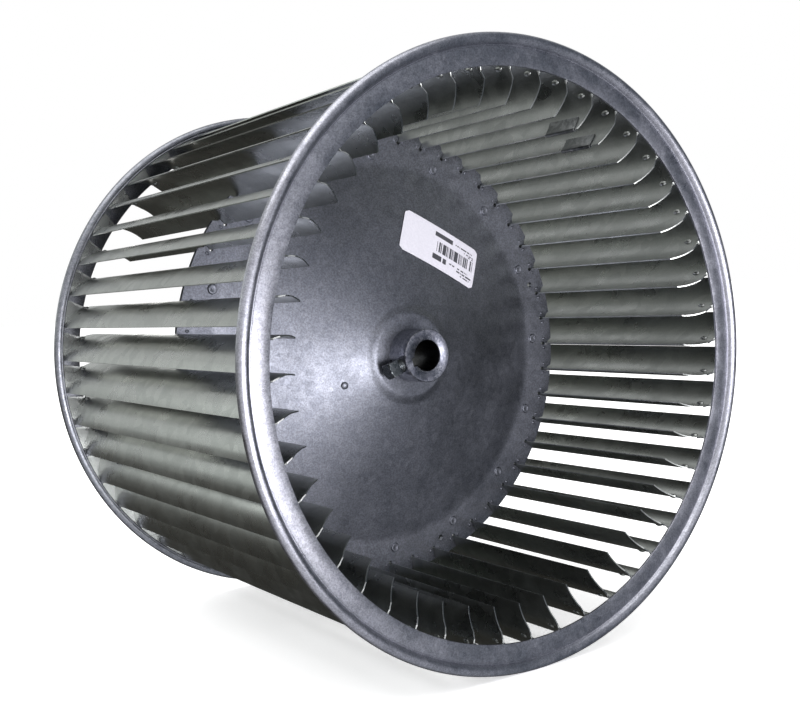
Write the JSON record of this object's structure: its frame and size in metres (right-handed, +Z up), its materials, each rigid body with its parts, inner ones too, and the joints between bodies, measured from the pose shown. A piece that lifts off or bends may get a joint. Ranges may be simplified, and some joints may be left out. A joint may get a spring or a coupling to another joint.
{
  "type": "blower motor wheel",
  "caption": "Double inlet forward curved blower wheel with rolled end rings, dished centre disc and keyed hub with a set screw.",
  "frame": {"origin": "centre of the wheel, on its axis, midway between the two end rings", "axes": "Y along the axis of rotation with the hub and front inlet towards -Y; X to the right and Z up seen from the front"},
  "size_m": [0.3016, 0.2436, 0.3016],
  "materials": {
    "ring_steel": "galvanised, fine spangle",
    "blade_steel": "galvanised, large spangle",
    "disc_steel": "galvanised, smooth",
    "hub_steel": "turned, zinc plated",
    "screw_steel": "zinc plated",
    "clip_steel": "sprung strip, plain",
    "label_paper": "white printed film"
  },
  "bodies": {
    "wheel": {"front_ring": "ring_steel", "rear_ring": "ring_steel", "front_disc": "disc_steel", "rear_disc": "disc_steel", "hub": "hub_steel", "label": "label_paper", "blade_01": "blade_steel", "blade_02": "blade_steel", "blade_03": "blade_steel", "blade_04": "blade_steel", "blade_05": "blade_steel", "blade_06": "blade_steel", "blade_07": "blade_steel", "blade_08": "blade_steel", "blade_09": "blade_steel", "blade_10": "blade_steel", "blade_11": "blade_steel", "blade_12": "blade_steel", "blade_13": "blade_steel", "blade_14": "blade_steel", "blade_15": "blade_steel", "blade_16": "blade_steel", "blade_17": "blade_steel", "blade_18": "blade_steel", "blade_19": "blade_steel", "blade_20": "blade_steel", "blade_21": "blade_steel", "blade_22": "blade_steel", "blade_23": "blade_steel", "blade_24": "blade_steel", "blade_25": "blade_steel", "blade_26": "blade_steel", "blade_27": "blade_steel", "blade_28": "blade_steel", "blade_29": "blade_steel", "blade_30": "blade_steel", "blade_31": "blade_steel", "blade_32": "blade_steel", "blade_33": "blade_steel", "blade_34": "blade_steel", "blade_35": "blade_steel", "blade_36": "blade_steel", "blade_37": "blade_steel", "blade_38": "blade_steel", "blade_39": "blade_steel", "blade_40": "blade_steel", "blade_41": "blade_steel", "blade_42": "blade_steel", "blade_43": "blade_steel", "blade_44": "blade_steel", "blade_45": "blade_steel", "blade_46": "blade_steel", "blade_47": "blade_steel", "blade_48": "blade_steel"},
    "screw": {"set_screw": "screw_steel"},
    "clip_1": {"balance_clip_1": "clip_steel"},
    "clip_2": {"balance_clip_2": "clip_steel"}
  },
  "joints": [
    {"name": "screw_travel", "type": "slide", "parent": "wheel", "child": "screw", "axis": [-0.9511, 0, -0.309], "range_m": [-0.003, 0.005]},
    {"name": "clip_1_slide", "type": "slide", "parent": "wheel", "child": "clip_1", "axis": [0, 1, 0], "range_m": [-0.0015, 0.08]},
    {"name": "clip_2_slide", "type": "slide", "parent": "wheel", "child": "clip_2", "axis": [0, 1, 0], "range_m": [-0.005, 0.08]}
  ]
}
